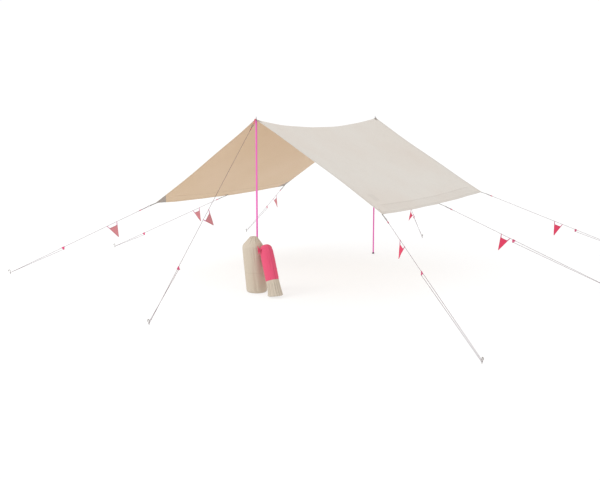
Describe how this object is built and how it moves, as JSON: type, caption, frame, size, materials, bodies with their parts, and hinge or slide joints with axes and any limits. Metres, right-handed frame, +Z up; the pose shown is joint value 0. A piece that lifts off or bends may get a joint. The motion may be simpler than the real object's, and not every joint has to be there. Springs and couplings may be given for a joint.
{
  "type": "camping tarp",
  "caption": "Ridge tarp held up by end poles, with taut guy ropes to ground pegs, runners, hanging warning pennants, and its filled carry sacks standing at the front pole.",
  "frame": {"origin": "on level ground at the middle of the whole footprint, pegs included, which is midway between the poles", "axes": "+X from the lower left eave to the higher right eave, -Y toward the front pole and the sacks, +Z up"},
  "size_m": [7.5606, 7.0171, 2.1],
  "materials": {
    "canopy_cloth": "woven polycotton, pale beige",
    "pole_paint": "glossy magenta paint over tube",
    "foot_rubber": "matt dark rubber",
    "guy_rope": "braided light grey cord",
    "tie_webbing": "woven grey webbing",
    "runner_plastic": "moulded pink plastic",
    "pennant_cloth": "bright pink hemmed cloth",
    "peg_steel": "dull bare steel",
    "large_sack_cloth": "woven beige canvas",
    "small_sack_cloth": "woven cloth, pink above and beige below"
  },
  "bodies": {
    "tarp": {"left_panel": "canopy_cloth", "right_panel": "canopy_cloth", "front_pole": "pole_paint", "rear_pole": "pole_paint", "front_pole_foot": "foot_rubber", "rear_pole_foot": "foot_rubber", "tie_front_left": "tie_webbing", "guy_rope_front_left": "guy_rope", "runner_front_left": "runner_plastic", "peg_front_left": "peg_steel", "tie_mid_left": "tie_webbing", "guy_rope_mid_left": "guy_rope", "runner_mid_left": "runner_plastic", "peg_mid_left": "peg_steel", "tie_rear_left": "tie_webbing", "guy_rope_rear_left": "guy_rope", "runner_rear_left": "runner_plastic", "peg_rear_left": "peg_steel", "tie_front_right": "tie_webbing", "guy_rope_front_right": "guy_rope", "runner_front_right": "runner_plastic", "peg_front_right": "peg_steel", "tie_mid_right": "tie_webbing", "guy_rope_mid_right": "guy_rope", "runner_mid_right": "runner_plastic", "peg_mid_right": "peg_steel", "tie_rear_right": "tie_webbing", "guy_rope_rear_right": "guy_rope", "runner_rear_right": "runner_plastic", "peg_rear_right": "peg_steel", "tie_front_ridge": "tie_webbing", "guy_rope_front_ridge": "guy_rope", "runner_front_ridge": "runner_plastic", "peg_front_ridge": "peg_steel", "tie_rear_ridge": "tie_webbing", "guy_rope_rear_ridge": "guy_rope", "runner_rear_ridge": "runner_plastic", "peg_rear_ridge": "peg_steel", "large_sack": "large_sack_cloth", "small_sack": "small_sack_cloth"},
    "pennant_front_left": {"pennant_front_left": "pennant_cloth"},
    "pennant_mid_left": {"pennant_mid_left": "pennant_cloth"},
    "pennant_rear_left": {"pennant_rear_left": "pennant_cloth"},
    "pennant_front_right": {"pennant_front_right": "pennant_cloth"},
    "pennant_mid_right": {"pennant_mid_right": "pennant_cloth"},
    "pennant_rear_right": {"pennant_rear_right": "pennant_cloth"},
    "pennant_front_ridge": {"pennant_front_ridge": "pennant_cloth"},
    "pennant_rear_ridge": {"pennant_rear_ridge": "pennant_cloth"}
  },
  "joints": [
    {"name": "pennant_swing_front_left", "type": "hinge", "parent": "tarp", "child": "pennant_front_left", "pos_m": [-2.15651, -1.82613, 0.68436], "axis": [-0.7641, -0.4811, -0.4297], "continuous": true},
    {"name": "pennant_swing_mid_left", "type": "hinge", "parent": "tarp", "child": "pennant_mid_left", "pos_m": [-2.19638, -0.0636, 0.70334], "axis": [-0.9102, -0.1106, -0.3991], "continuous": true},
    {"name": "pennant_swing_rear_left", "type": "hinge", "parent": "tarp", "child": "pennant_rear_left", "pos_m": [-1.96262, 1.68439, 0.75114], "axis": [-0.7433, 0.4204, -0.5204], "continuous": true},
    {"name": "pennant_swing_front_right", "type": "hinge", "parent": "tarp", "child": "pennant_front_right", "pos_m": [2.10584, -1.83454, 0.79876], "axis": [0.7032, -0.5676, -0.4281], "continuous": true},
    {"name": "pennant_swing_mid_right", "type": "hinge", "parent": "tarp", "child": "pennant_mid_right", "pos_m": [2.49737, 0.25921, 0.64055], "axis": [0.8591, 0.2872, -0.4235], "continuous": true},
    {"name": "pennant_swing_rear_right", "type": "hinge", "parent": "tarp", "child": "pennant_rear_right", "pos_m": [2.54031, 2.4417, 0.56148], "axis": [0.6234, 0.6945, -0.3592], "continuous": true},
    {"name": "pennant_swing_front_ridge", "type": "hinge", "parent": "tarp", "child": "pennant_front_ridge", "pos_m": [0.03248, -2.51166, 1.03075], "axis": [0.0225, -0.6927, -0.7208], "continuous": true},
    {"name": "pennant_swing_rear_ridge", "type": "hinge", "parent": "tarp", "child": "pennant_rear_ridge", "pos_m": [-0.02066, 2.93059, 0.50165], "axis": [-0.0098, 0.6706, -0.7418], "continuous": true}
  ]
}
